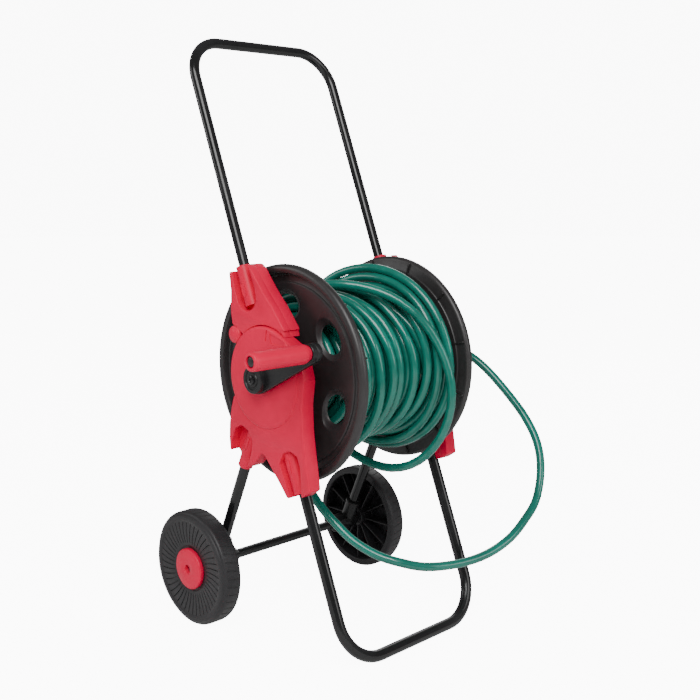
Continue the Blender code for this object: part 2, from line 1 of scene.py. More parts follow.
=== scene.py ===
# %% [markdown]
# # A garden hose reel cart
#
# This lesson dresses a working model of a hose cart: a tubular stand with a
# foot, two wheels and a tipping handle, and a drum of green hose that a crank
# turns. The frame that we load has the right sizes and joints, but it is plain
# and many-sided. Each cell below makes one real piece at full quality, puts it
# where the frame says, and lets it ride on the body it belongs to.

# %% Load the frame
import json
from math import asin, atan2, cos, degrees, pi, radians, sin

import bmesh
import bpy
import numpy as np
from mathutils import Matrix, Vector


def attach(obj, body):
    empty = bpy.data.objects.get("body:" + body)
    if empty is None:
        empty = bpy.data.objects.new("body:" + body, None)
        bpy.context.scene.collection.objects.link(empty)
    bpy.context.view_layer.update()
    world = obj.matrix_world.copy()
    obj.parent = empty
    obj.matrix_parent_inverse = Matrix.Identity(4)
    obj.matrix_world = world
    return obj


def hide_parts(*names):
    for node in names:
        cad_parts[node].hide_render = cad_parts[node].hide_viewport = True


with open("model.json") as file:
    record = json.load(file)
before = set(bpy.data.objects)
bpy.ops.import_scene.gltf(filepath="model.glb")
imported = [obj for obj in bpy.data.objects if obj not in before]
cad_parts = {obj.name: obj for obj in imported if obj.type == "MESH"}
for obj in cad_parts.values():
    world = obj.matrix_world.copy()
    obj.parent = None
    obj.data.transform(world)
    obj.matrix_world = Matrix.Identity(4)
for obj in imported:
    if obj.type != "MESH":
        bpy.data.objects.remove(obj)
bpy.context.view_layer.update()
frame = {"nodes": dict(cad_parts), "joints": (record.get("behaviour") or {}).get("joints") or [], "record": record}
joints = {joint["name"]: joint for joint in frame["joints"]}
nodes = frame["nodes"]

# %% [markdown]
# ## Where things are
#
# Every place comes from the frame. The drum axis, the grip and the wheel axle
# are joints. Angles round the drum are counted from +Y, towards the wheels, and
# upwards. Two directions matter: up the handle, which is also the line of the
# front legs, and down the rear legs. All of them pass through the drum axis.

# %% Places and directions
DRUM = Vector(joints["drum_spin"]["pos_m"])
GRIP = Vector(joints["grip_spin"]["pos_m"])
AXLE = Vector((0.0, *joints["right_wheel_spin"]["pos_m"][1:]))
LEG_R = 0.010                   # tube radii
REAR_LEG_R = 0.0095
HANDLE_R = 0.009
CROSS_R = 0.0085
LEG_X = 0.159                   # how far each tube's middle is from the cart's middle plane
REAR_LEG_X = 0.164
HANDLE_X = 0.162
LEG_START = 0.124               # how far from the drum axis each tube begins, in its bracket
REAR_LEG_START = 0.103
HANDLE_START = 0.126
KNOB = DRUM + Vector((0, 0.0800, 0.0641))
WHEEL_X = 0.209
UP = Vector((0.0, DRUM.y, DRUM.z - LEG_R)).normalized()
REAR = (AXLE - DRUM).normalized()
SIDES = (("left", -1), ("right", 1))
print("the handle leans back", round(degrees(atan2(UP.y, UP.z)), 1), "degrees")

# %% [markdown]
# ## Camera, floor and light
#
# A garden tool is best shown on white, with one large soft light high on the
# crank's side, a weaker one from the front, and two small ones from behind that
# draw bright lines along the black tubes. Floor and background look white to the
# camera only. The light they give the cart is much weaker, or gloss black would
# never look black.

# %% Camera
BACK = Vector((-0.69172, -0.70422, 0.16001)).normalized()
TARGET = DRUM + Vector((0.0167, 0.0, 0.0243))
camera = bpy.data.objects.new("camera", bpy.data.cameras.new("camera"))
bpy.context.scene.collection.objects.link(camera)
camera.location = TARGET + BACK * 1.8414
camera.rotation_euler = BACK.to_track_quat("Z", "Y").to_euler()
camera.data.lens = 53.36
camera.data.sensor_width = 36.0
bpy.context.scene.camera = camera
print("camera at", [round(c, 3) for c in camera.location])

# %% Floor and lights
CAMERA_WHITE = 10.0             # strength of floor and background as the camera sees them
SOFT_LIGHT = 0.30               # strength of the background as a light

bpy.ops.object.select_all(action="DESELECT")
bpy.ops.mesh.primitive_circle_add(vertices=96, radius=14.0, fill_type="NGON",
                                  location=(0, 0, -0.001))
floor = bpy.context.object
floor.name = "floor"
pale = bpy.data.materials.new("pale_floor")
pale.use_nodes = True
matt = pale.node_tree.nodes["Principled BSDF"]
matt.inputs["Base Color"].default_value = (0.93, 0.93, 0.93, 1)
matt.inputs["Roughness"].default_value = 0.9
matt.inputs["Emission Color"].default_value = (1, 1, 1, 1)
to_camera = pale.node_tree.nodes.new("ShaderNodeLightPath")
glow = pale.node_tree.nodes.new("ShaderNodeMath")
glow.operation = "MULTIPLY"
glow.inputs[1].default_value = CAMERA_WHITE
pale.node_tree.links.new(to_camera.outputs["Is Camera Ray"], glow.inputs[0])
pale.node_tree.links.new(glow.outputs[0], matt.inputs["Emission Strength"])
floor.data.materials.append(pale)

world = bpy.data.worlds.new("studio")
bpy.context.scene.world = world
world.use_nodes = True
sky = world.node_tree
seen = sky.nodes.new("ShaderNodeLightPath")
soft = sky.nodes["Background"]
soft.inputs["Color"].default_value = (1.0, 1.0, 1.0, 1)
soft.inputs["Strength"].default_value = SOFT_LIGHT
white = sky.nodes.new("ShaderNodeBackground")
white.inputs["Color"].default_value = (1.0, 1.0, 1.0, 1)
white.inputs["Strength"].default_value = CAMERA_WHITE
either = sky.nodes.new("ShaderNodeMixShader")
sky.links.new(seen.outputs["Is Camera Ray"], either.inputs["Fac"])
sky.links.new(soft.outputs["Background"], either.inputs[1])
sky.links.new(white.outputs["Background"], either.inputs[2])
sky.links.new(either.outputs["Shader"], sky.nodes["World Output"].inputs["Surface"])


def softbox(name, place, size, watts):
    """A square area light that faces the drum."""
    lamp = bpy.data.lights.new(name, "AREA")
    lamp.energy = watts
    lamp.size = size
    obj = bpy.data.objects.new(name, lamp)
    obj.location = place
    obj.rotation_euler = (Vector(place) - TARGET).to_track_quat("Z", "Y").to_euler()
    bpy.context.scene.collection.objects.link(obj)


softbox("key_light", (-1.8, -1.3, 2.4), 1.8, 95)
softbox("front_light", (0.8, -2.8, 1.5), 1.6, 30)
softbox("rim_light", (2.4, 1.6, 1.9), 1.6, 16)
softbox("back_light", (-2.2, 2.2, 1.6), 1.2, 16)
print("floor, sky and four soft lights are in place")

# %% [markdown]
# ## Modelling helpers
#
# Work in edit mode always starts the same way: deselect everything, make one
# object active, and select just the corners, edges or faces that the next tool
# is for. In a script we select them by where they are. The helpers below do
# that, join and cut shapes with Booleans, and hand a finished piece to its body.


# %% Selecting and finishing
def only(obj):
    bpy.ops.object.select_all(action="DESELECT")
    obj.select_set(True)
    bpy.context.view_layer.objects.active = obj


def pick(obj, kind, test):
    """Opens edit mode with only the VERTs, EDGEs or FACEs selected that pass a test."""
    only(obj)
    bpy.ops.object.mode_set(mode="EDIT")
    bpy.ops.mesh.select_mode(type=kind)
    bpy.ops.mesh.select_all(action="DESELECT")
    shape = bmesh.from_edit_mesh(obj.data)
    for item in {"VERT": shape.verts, "EDGE": shape.edges, "FACE": shape.faces}[kind]:
        item.select_set(bool(test(item)))
    shape.select_flush_mode()
    bmesh.update_edit_mesh(obj.data)


def leave():
    bpy.ops.object.mode_set(mode="OBJECT")


def settle(obj):
    """Moves the object's place into its mesh."""
    only(obj)
    bpy.ops.object.transform_apply(location=True, rotation=True, scale=True)


def weld(obj, distance=0.00002):
    """Merges doubles and turns all faces outwards."""
    pick(obj, "VERT", lambda vert: True)
    bpy.ops.mesh.remove_doubles(threshold=distance)
    bpy.ops.mesh.normals_make_consistent(inside=False)
    leave()


def apply_all(obj):
    only(obj)
    for modifier in list(obj.modifiers):
        bpy.ops.object.modifier_apply(modifier=modifier.name)


def combine(target, tools, operation):
    """Joins solids to a target or cuts them out of it, and removes them."""
    for tool in tools:
        modifier = target.modifiers.new("Combine", "BOOLEAN")
        modifier.operation = operation
        modifier.solver = "EXACT"
        modifier.object = tool
        apply_all(target)
        bpy.data.objects.remove(tool)
    return target


def finish(obj, body, material, slot, replaced=(), angle=35):
    """Shades a piece, gives it its finish, and hands it to the body it rides on."""
    settle(obj)
    if obj.type == "MESH":
        bpy.ops.object.shade_smooth_by_angle(angle=radians(angle))
    obj.data.materials.clear()
    obj.data.materials.append(material)
    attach(obj, body)
    if replaced:
        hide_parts(*replaced)
    print(obj.name, "rides on", body)
    return obj


# %% Solids to start from
def facing(direction):
    return Vector(direction).to_track_quat("Z", "Y").to_euler()


def rod(name, radius, start, end, sides=48):
    start, end = Vector(start), Vector(end)
    bpy.ops.object.select_all(action="DESELECT")
    bpy.ops.mesh.primitive_cylinder_add(vertices=sides, radius=radius, depth=(end - start).length,
                                        location=(start + end) / 2, rotation=facing(end - start))
    bpy.context.object.name = name
    settle(bpy.context.object)
    return bpy.context.object


def turned(name, profile, place, direction, steps=96):
    """Spins (radius, height) points about an axis through a place, as on a lathe."""
    bpy.ops.object.select_all(action="DESELECT")
    bpy.ops.mesh.primitive_circle_add(vertices=len(profile), radius=1.0)
    obj = bpy.context.object
    obj.name = name
    for vert, (radius, height) in zip(obj.data.vertices, profile):
        vert.co = (radius, 0.0, height)
    pick(obj, "VERT", lambda vert: True)
    bpy.ops.mesh.spin(steps=steps, angle=2 * pi, center=(0, 0, 0), axis=(0, 0, 1))
    leave()
    weld(obj)
    obj.rotation_euler = facing(direction)
    obj.location = place
    settle(obj)
    weld(obj)
    return obj


def rounded(points, reach, steps=4):
    """An outline with each corner turned into a short curve."""
    made = []
    points = [Vector(p) for p in points]
    for i, corner in enumerate(points):
        before = points[i - 1] - corner
        after = points[(i + 1) % len(points)] - corner
        start = corner + before * min(0.45, reach / before.length)
        end = corner + after * min(0.45, reach / after.length)
        for k in range(steps + 1):
            t = k / steps
            made.append(start * (1 - t) ** 2 + corner * 2 * t * (1 - t) + end * t ** 2)
    return made


def arc(radius, start, end, steps, centre=(0.0, 0.0)):
    turns = [radians(start + (end - start) * i / steps) for i in range(steps + 1)]
    return [(centre[0] + radius * cos(t), centre[1] + radius * sin(t)) for t in turns]


def plate(name, outline, low, high, side, edge=0.0012, inset=0.0):
    """A slab with rounded edges from an outline of (y, z) points round the drum axis."""
    curve = bpy.data.curves.new(name, "CURVE")
    curve.dimensions = "2D"
    curve.fill_mode = "BOTH"
    curve.extrude = (high - low) / 2 - edge
    curve.bevel_depth = edge
    curve.bevel_resolution = 2
    curve.offset = -edge - inset
    spline = curve.splines.new("POLY")
    spline.points.add(len(outline) - 1)
    for point, (y, z) in zip(spline.points, outline):
        point.co = (y, z, 0.0, 1.0)
    spline.use_cyclic_u = True
    obj = bpy.data.objects.new(name, curve)
    bpy.context.scene.collection.objects.link(obj)
    only(obj)
    bpy.ops.object.convert(target="MESH")
    obj.rotation_euler = (pi / 2, 0, pi / 2)
    obj.location = DRUM + Vector((side * (low + high) / 2, 0, 0))
    settle(obj)
    weld(obj)
    return obj


print("helpers ready")

# %% [markdown]
# ## Shader maths as plain expressions
#
# A finish is never one flat colour. Moulded plastic has a fine grain and faint
# flow marks, enamel has a slight orange peel, and a hose is dusty in places.
# Such patterns are sums and products of noise. Wrapping a socket in a small
# class lets us write them as ordinary Python, one Math node to an operator.


# %% Field and Finish
class Field:
    """A number that varies over a surface."""

    def __init__(self, finish, socket):
        self.finish, self.socket = finish, socket

    def math(self, operation, first, second):
        made = self.finish.node("ShaderNodeMath", {"operation": operation}, {0: first, 1: second})
        return Field(self.finish, made.outputs[0])

    def __add__(self, other):
        return self.math("ADD", self, other)

    def __mul__(self, other):
        return self.math("MULTIPLY", self, other)


class Finish:
    """One material: its nodes, and short ways to the few that every finish uses."""

    def __init__(self, name, roughness, metallic=0.0, coat=0.0, specular=0.5):
        self.material = bpy.data.materials.new(name)
        self.material.use_nodes = True
        self.tree = self.material.node_tree
        self.shader = self.tree.nodes["Principled BSDF"]
        self.shader.inputs["Roughness"].default_value = roughness
        self.shader.inputs["Metallic"].default_value = metallic
        self.shader.inputs["Coat Weight"].default_value = coat
        self.shader.inputs["Specular IOR Level"].default_value = specular
        self.place = self.node("ShaderNodeTexCoord").outputs["Object"]

    def node(self, kind, settings=None, sockets=None):
        made = self.tree.nodes.new(kind)
        for key, value in (settings or {}).items():
            setattr(made, key, value)
        for key, value in (sockets or {}).items():
            self.feed(made.inputs[key], value)
        return made

    def feed(self, socket, value):
        if isinstance(value, Field):
            value = value.socket
        if isinstance(value, bpy.types.NodeSocket):
            self.tree.links.new(value, socket)
        else:
            socket.default_value = value

    def noise(self, scale, detail=3.0):
        """Soft noise from 0 to 1."""
        made = self.node("ShaderNodeTexNoise", None, {
            "Vector": self.place, "Scale": scale, "Detail": detail})
        return Field(self, made.outputs["Fac"])

    def spread(self, field, low, high, out_low, out_high):
        """Maps a range of a field to another range, clamped."""
        made = self.node("ShaderNodeMapRange", {"clamp": True}, {
            "Value": field, "From Min": low, "From Max": high, "To Min": out_low, "To Max": out_high})
        return Field(self, made.outputs["Result"])

    def blend(self, factor, first, second):
        """A colour between two colours."""
        made = self.node("ShaderNodeMix", {"data_type": "RGBA"}, {"Factor": factor, 6: first, 7: second})
        return made.outputs[2]

    def colour(self, value):
        self.feed(self.shader.inputs["Base Color"], value)

    def roughness(self, value):
        self.feed(self.shader.inputs["Roughness"], value)

    def bump(self, height, distance, strength=1.0):
        made = self.node("ShaderNodeBump", None, {
            "Height": height, "Distance": distance, "Strength": strength})
        self.feed(self.shader.inputs["Normal"], made.outputs["Normal"])


print("shader helpers ready")

# %% [markdown]
# ## The finishes
#
# Black stove enamel on steel, satin red mouldings, brown-black drum sides, dark
# grey wheels, glossy green hose, zinc-plated steel, natural nylon and rubber.
# Colours are linear values. The red moulding's grain is a fine spark-eroded
# texture, so it is a small bump and not a pattern in colour; colour only drifts
# slowly, as plastic does where it flowed and cooled.


# %% Moulded plastics
def moulded(name, dark, light, roughness, specular=0.35):
    """Moulded plastic: slow colour drift, fine grain, and gloss that varies a little."""
    made = Finish(name, roughness, specular=specular)
    slow = made.noise(9.0, 2.0)
    fine = made.noise(900.0, 2.0)
    smear = made.noise(40.0, 3.0)
    made.colour(made.blend(made.spread(slow * 0.7 + smear * 0.3, 0.35, 0.65, 0.0, 1.0), dark, light))
    made.roughness(made.spread(smear * 0.6 + fine * 0.4, 0.3, 0.7, roughness - 0.06, roughness + 0.07))
    made.bump(fine, 0.00003, 0.6)
    return made.material


red_moulding = moulded("red_moulding", (0.62, 0.0, 0.038, 1), (0.74, 0.0, 0.050, 1), 0.36, 0.20)
drum_moulding = moulded("drum_moulding", (0.014, 0.0125, 0.013, 1), (0.021, 0.0185, 0.019, 1), 0.40, 0.50)
black_moulding = moulded("black_moulding", (0.007, 0.007, 0.0075, 1), (0.012, 0.012, 0.0125, 1), 0.36, 0.35)
wheel_moulding = moulded("wheel_moulding", (0.014, 0.013, 0.0145, 1), (0.021, 0.020, 0.022, 1), 0.46, 0.35)
nylon = moulded("natural_nylon", (0.70, 0.69, 0.64, 1), (0.78, 0.77, 0.73, 1), 0.45)
seal_rubber = moulded("seal_rubber", (0.012, 0.012, 0.012, 1), (0.020, 0.020, 0.020, 1), 0.70)


# %% Enamel, zinc and hose
def enamelled():
    made = Finish("black_enamel", 0.16, specular=0.4)
    peel = made.noise(420.0, 2.0)
    dust = made.noise(16.0, 4.0)
    made.colour(made.blend(made.spread(dust, 0.45, 0.75, 0.0, 1.0), (0.006, 0.006, 0.0065, 1),
                           (0.013, 0.013, 0.014, 1)))
    made.roughness(made.spread(dust, 0.35, 0.75, 0.13, 0.27))
    made.bump(peel, 0.00004, 0.35)
    return made.material


def plated(name, dark, light):
    made = Finish(name, 0.35, metallic=1.0)
    spangle = made.noise(260.0, 3.0)
    cloud = made.noise(35.0, 3.0)
    made.colour(made.blend(made.spread(cloud, 0.3, 0.7, 0.0, 1.0), dark, light))
    made.roughness(made.spread(spangle * 0.5 + cloud * 0.5, 0.3, 0.7, 0.28, 0.45))
    made.bump(spangle, 0.00002, 0.5)
    return made.material


def hose_pvc():
    made = Finish("green_hose_pvc", 0.2, coat=0.25)
    drift = made.noise(11.0, 2.0)
    cloud = made.noise(60.0, 3.0)
    fine = made.noise(700.0, 2.0)
    mix = made.spread(drift * 0.6 + cloud * 0.4, 0.32, 0.68, 0.0, 1.0)
    made.colour(made.blend(mix, (0.0, 0.110, 0.078, 1), (0.0, 0.175, 0.128, 1)))
    made.roughness(made.spread(cloud, 0.35, 0.7, 0.16, 0.27))
    made.bump(fine, 0.00003, 0.25)
    return made.material


black_enamel = enamelled()
zinc_plate = plated("zinc_plate", (0.34, 0.34, 0.35, 1), (0.50, 0.50, 0.51, 1))
dark_steel = plated("browned_steel", (0.050, 0.044, 0.044, 1), (0.085, 0.074, 0.074, 1))
green_hose = hose_pvc()
print(len(bpy.data.materials), "materials made so far")

# %% [markdown]
# ## The wound hose
#
# A half-inch hose starts at a nipple in the drum core and is wound layer on
# layer. The first layers lie neatly; the outer ones are pulled in by hand and
# cross. The way to get this right is to lay the hose the way the drum does: keep
# the height of what is already wound, let each new turn rest on it, and let it
# rise in a long low hump over what it crosses, because a hose doesn't bend
# sharply. `bed` holds that height for each angle and place along the drum.

# %% Laying a hose on a drum
HOSE_D = 0.0155
HOSE_R = HOSE_D / 2
CORE_R = 0.061
HALF = 0.1155                   # half the space between the drum sides
STEPS = 60                      # points in a turn
CELL = 0.0008                   # width of a cell of the bed
HUMP = 0.00014                  # how fast a hump falls away, metres per step squared
START_TURN = 200                # angle of the nipple
LEAN_TURN = 190                 # tilted turns lean to +X at this angle


def lay(places, least):
    """The radius of each point of a hose that is wound at those places along the drum."""
    cells = np.arange(-HALF, HALF, CELL)
    bed = np.full((STEPS, len(cells)), CORE_R)
    reach = STEPS // 5
    total = len(places)
    wanted = np.full(total + reach, CORE_R + HOSE_R)
    fall = HUMP * np.arange(-reach, reach + 1) ** 2
    radii = np.empty(total)

    def near(i):
        gap = np.abs(cells - places[i])
        under = gap < HOSE_R
        return under, np.sqrt(HOSE_R ** 2 - gap[under] ** 2)

    for i in range(-reach, total):
        ahead = i + reach
        if ahead < total:
            under, rise = near(ahead)
            wanted[ahead] = (bed[ahead % STEPS][under] + rise).max()
        if i < 0:
            continue
        first = max(0, i - reach)
        window = wanted[first:i + reach + 1]
        radii[i] = max((window - fall[first - i + reach:][:len(window)]).max(), least[i])
        under, rise = near(i)
        column = bed[i % STEPS]
        column[under] = np.maximum(column[under], radii[i] + rise)
    return radii


# %% [markdown]
# The turns are given by their middle, and by how far they lean: a hand-guided
# turn is a tilted ring. After the neat layers come the outer turns, one pair of
# values each, and then the slack turn that hangs off the drum and crosses to the
# crank's side, where the hose leaves. Its points are the frame's own.

# %% The turns of the wound hose
LAYERS = 4
TURNS_IN_LAYER = 9
LEAN_STEP = 0.004
OUTER_TURNS = [                 # middle and lean of each outer turn
    (-0.085, 0.018), (-0.062, 0.024), (-0.035, 0.030), (-0.018, 0.030), (0.010, 0.034),
    (0.030, 0.034), (0.056, 0.034), (0.074, 0.030), (0.060, 0.020), (0.080, 0.020), (0.043, 0.030)]
SLACK_ROUTE = [                 # x, degrees from +Y, radius
    (0.028, 311, 0.1555), (0.040, 292, 0.164), (0.050, 276, 0.177), (0.058, 262, 0.192),
    (0.064, 247, 0.204), (0.068, 232, 0.205), (0.073, 216, 0.203), (0.080, 200, 0.195),
    (0.086, 186, 0.179), (0.078, 172, 0.168), (0.064, 158, 0.161), (0.048, 144, 0.158),
    (0.032, 131, 0.1565)]
LAST_STRETCH = [                # on over the top and down the back to where the loop leaves
    (0.010, 119, 0.0), (-0.022, 105, 0.0), (-0.046, 88, 0.0), (-0.066, 60, 0.0), (-0.078, 30, 0.0),
    (-0.086, 2, 0.0), (-0.091, -22, 0.0), (-0.092, -36, 0.1433)]


def wound_places():
    """Degrees wound, place along the drum and least radius, at uneven control points."""
    marks = []
    for layer in range(LAYERS):
        lean = LEAN_STEP * layer
        span = HALF - HOSE_R - lean - 0.0005
        for turn in range(TURNS_IN_LAYER):
            middle = span * (1 - 2 * turn / TURNS_IN_LAYER) * (-1) ** layer
            marks.append((middle, lean))
    marks += OUTER_TURNS
    middles, leans = np.array(marks).T
    wound, places, least = [], [], []
    to_slack = START_TURN - (SLACK_ROUTE[0][1] - 360)
    whole = 360 * (len(marks) - 2) + to_slack
    for angle in range(0, whole - 20, 15):
        middle = np.interp(angle / 360, range(len(marks)), middles)
        lean = np.interp(angle / 360, range(len(marks)), leans)
        wound.append(angle)
        places.append(middle + lean * cos(radians(START_TURN - angle - LEAN_TURN)))
        least.append(0.0)
    for x, turn, radius in SLACK_ROUTE + LAST_STRETCH:
        wound.append(whole + SLACK_ROUTE[0][1] - turn)
        places.append(x)
        least.append(radius)
    return np.array(wound), np.array(places), np.array(least)


def smoothed(values, width):
    """A running average with soft shoulders; the ends keep their values."""
    kernel = np.hanning(2 * width + 3)[1:-1]
    padded = np.concatenate([np.full(width, values[0]), values, np.full(width, values[-1])])
    return np.convolve(padded, kernel / kernel.sum(), mode="valid")


def wind_hose():
    """Points of the whole wound hose, from the nipple to where the free loop leaves."""
    wound, places, least = wound_places()
    count = int(round(wound[-1] / 360 * STEPS))
    angle = np.linspace(0, wound[-1], count + 1)
    x = smoothed(np.interp(angle, wound, places), 4)
    x = np.clip(x, HOSE_R - HALF, HALF - HOSE_R)
    least_here = smoothed(np.interp(angle, wound, least), 2)
    radius = smoothed(lay(x, least_here), 3)
    turn = np.radians(START_TURN - angle)
    along = np.stack([x, radius * np.cos(turn), radius * np.sin(turn)], axis=1)
    return along + np.array(DRUM)


# %% [markdown]
# ## The free loop
#
# From the drum the hose drops behind the crank's side, swings forwards round the
# front legs and climbs to the inlet on the far side, where its connector is
# pushed on for storage. Its route is the frame's own list of points.

# %% The route of the loop
LOOP_ROUTE = [
    (0.2640, 0.000, 0.000), (0.281, 0.000, 0.000), (0.302, -0.008, -0.005), (0.322, -0.025, -0.018),
    (0.336, -0.053, -0.041), (0.343, -0.096, -0.079), (0.3415, -0.146, -0.124), (0.334, -0.182, -0.168),
    (0.314, -0.206, -0.213), (0.281, -0.221, -0.259), (0.238, -0.228, -0.286), (0.189, -0.230, -0.310),
    (0.135, -0.222, -0.327), (0.080, -0.205, -0.334), (0.024, -0.180, -0.332), (-0.013, -0.150, -0.322),
    (-0.037, -0.118, -0.3105), (-0.057, -0.083, -0.2895), (-0.067, -0.053, -0.266),
    (-0.0735, -0.022, -0.2413), (-0.074, 0.006, -0.218), (-0.077, 0.038, -0.190),
    (-0.082, 0.070, -0.158), (-0.088, 0.096, -0.125), (-0.092, 0.1160, -0.084)]


def smooth_route(route, spacing):
    """Evenly spaced points on a smooth curve through a route."""
    route = np.array(route, dtype=float)
    ends = np.vstack([2 * route[0] - route[1], route, 2 * route[-1] - route[-2]])
    t = np.linspace(0, 1, 24, endpoint=False)[:, None]
    fine = []
    for a, b, c, d in zip(ends, ends[1:], ends[2:], ends[3:]):
        fine.append(0.5 * (2 * b + (c - a) * t + (2 * a - 5 * b + 4 * c - d) * t ** 2
                           + (3 * b - a - 3 * c + d) * t ** 3))
    fine = np.vstack(fine + [route[-1:]])
    length = np.concatenate([[0], np.cumsum(np.linalg.norm(np.diff(fine, axis=0), axis=1))])
    even = np.linspace(0, length[-1], int(length[-1] / spacing))
    return np.stack([np.interp(even, length, column) for column in fine.T], axis=1)


def hose(name, points):
    """A round hose as a curve of one open spline."""
    curve = bpy.data.curves.new(name, "CURVE")
    curve.dimensions = "3D"
    curve.bevel_depth = HOSE_R
    curve.bevel_resolution = 4
    curve.use_fill_caps = True
    spline = curve.splines.new("POLY")
    spline.points.add(len(points) - 1)
    for point, place in zip(spline.points, points):
        point.co = (*place, 1.0)
    spline.use_smooth = True
    obj = bpy.data.objects.new(name, curve)
    bpy.context.scene.collection.objects.link(obj)
    return obj


def run_length(points):
    return float(np.linalg.norm(np.diff(points, axis=0), axis=1).sum())


# %% Both hoses
wound_points = wind_hose()
wound_hose = finish(hose("wound_hose", wound_points), "drum", green_hose, "green_hose",
                    ["hose_wound", "hose_slack_turn"])
loop_points = smooth_route(LOOP_ROUTE, 0.005) + np.array(DRUM)
free_loop = finish(hose("free_loop", loop_points), "frame", green_hose, "green_hose", ["hose_loop"])
print("wound hose", round(run_length(wound_points), 2), "m")
print("free loop", round(run_length(loop_points), 2), "m")

# %% [markdown]
# ## The tubes
#
# The stand and the handle are steel tube, bent on a former and then enamelled.
# A curve with a bevel would do, but bending it as the workshop does gives a
# cleaner mesh: start with a circle, extrude the straight leg, spin the bend
# about its centre, extrude the cross bar, spin and extrude again. A Solidify
# modifier then gives the wall, so that the open ends look right.


# %% Tubes
def start_tube(name, radius, place, direction):
    bpy.ops.object.select_all(action="DESELECT")
    bpy.ops.mesh.primitive_circle_add(vertices=40, radius=radius, location=place,
                                      rotation=facing(direction))
    obj = bpy.context.object
    obj.name = name
    settle(obj)
    pick(obj, "VERT", lambda vert: True)
    return obj


def run(step):
    """Extrudes the open end of the tube that is being edited."""
    bpy.ops.mesh.extrude_region_move(TRANSFORM_OT_translate={"value": step})


def end_tube(obj, wall):
    """Gives the tube its wall, inwards from its outside."""
    leave()
    weld(obj)
    shell = obj.modifiers.new("Wall", "SOLIDIFY")
    shell.thickness = wall
    shell.offset = -1
    apply_all(obj)
    return obj


def straight_tube(name, radius, start, end, wall=0.0012):
    start, end = Vector(start), Vector(end)
    obj = start_tube(name, radius, start, end - start)
    run(end - start)
    return end_tube(obj, wall)


def u_tube(name, radius, half_width, direction, start, reach, corner, wall):
    """Two legs that leave the drum axis in a direction, joined by a cross bar."""
    foot = DRUM + Vector((-half_width, 0, 0))
    along = direction * (reach - corner - start)
    across = Vector((2 * (half_width - corner), 0, 0))
    obj = start_tube(name, radius, foot + direction * start, direction)
    run(along)
    for side in (-1, 1):
        centre = DRUM + direction * (reach - corner) + Vector((side * (half_width - corner), 0, 0))
        bpy.ops.mesh.spin(steps=14, angle=pi / 2, center=centre, axis=Vector((1, 0, 0)).cross(direction))
        if side < 0:
            run(across)
    run(-along)
    return end_tube(obj, wall)


handle = u_tube("bent_handle", HANDLE_R, HANDLE_X, UP, HANDLE_START, 0.602, 0.068, 0.001)
finish(handle, "handle", black_enamel, "black_enamel_tube", ["handle_tube"])
legs = u_tube("bent_legs", LEG_R, LEG_X, -UP, LEG_START, (DRUM.z - 0.00968) / UP.z, 0.072, 0.0012)
finish(legs, "frame", black_enamel, "black_enamel_tube", ["front_leg"])
for word, side in SIDES:
    foot = DRUM + Vector((side * REAR_LEG_X, 0, 0))
    leg = straight_tube(f"rear_tube_{word}", REAR_LEG_R, foot + REAR * REAR_LEG_START, foot + REAR * 0.372)
    finish(leg, "frame", black_enamel, "black_enamel_tube", [f"rear_leg_{word}"])
half_axle = Vector((0.1885, 0, 0))
cross = straight_tube("cross_tube", CROSS_R, AXLE - half_axle, AXLE + half_axle)
finish(cross, "frame", black_enamel, "black_enamel_tube", ["axle_tube"])

# %% [markdown]
# ## The side brackets
#
# Each side has two red mouldings. The lower one is a plate with a round disc
# about the drum axis, and two limbs that the leg tubes are pushed into. The
# upper one holds the handle and swings round the disc. Each limb has a deep
# pocket in its outer face, open at the end, and in it a round barrel that grips
# the tube, with a small raised oval. The easy way to such a pocket is to join
# two slabs: one whose outline has a notch where the pocket is, and a thinner one
# without the notch, which becomes the pocket's floor. Bevelled 2D curves give
# every edge its soft radius.


# %% Parts that the brackets share
def barrel(name, side, x, direction, start, end, radius=0.0128):
    foot = DRUM + Vector((side * x, 0, 0))
    return rod(name, radius, foot + direction * start, foot + direction * end)


def oval_mark(name, side, direction, middle, low, high, length=0.026, width=0.0085):
    """A thin raised ring with straight sides, on the crown of a barrel."""
    across = Vector((0, direction.z, -direction.y))
    shapes = []
    for line, top in ((0.0, high), (0.0016, high + 0.01)):
        half = width / 2 - line
        reach = length / 2 - line
        outline = []
        for turn in range(0, 360, 15):
            end = reach - half if 90 > turn or turn >= 270 else half - reach
            along = direction * (middle + end + half * cos(radians(turn)))
            point = along + across * half * sin(radians(turn))
            outline.append((point.y, point.z))
        bottom = high - 0.0009 if line else low
        shapes.append(plate(name, outline, bottom, top, side, 0.0004))
    return combine(shapes[0], [shapes[1]], "DIFFERENCE")


def tube_hole(side, x, direction, radius, start):
    """A cutter a little wider than a tube, from just before the tube's end and out."""
    foot = DRUM + Vector((side * x, 0, 0))
    return rod("hole", radius + 0.0005, foot + direction * (start - 0.0003), foot + direction * 0.24)


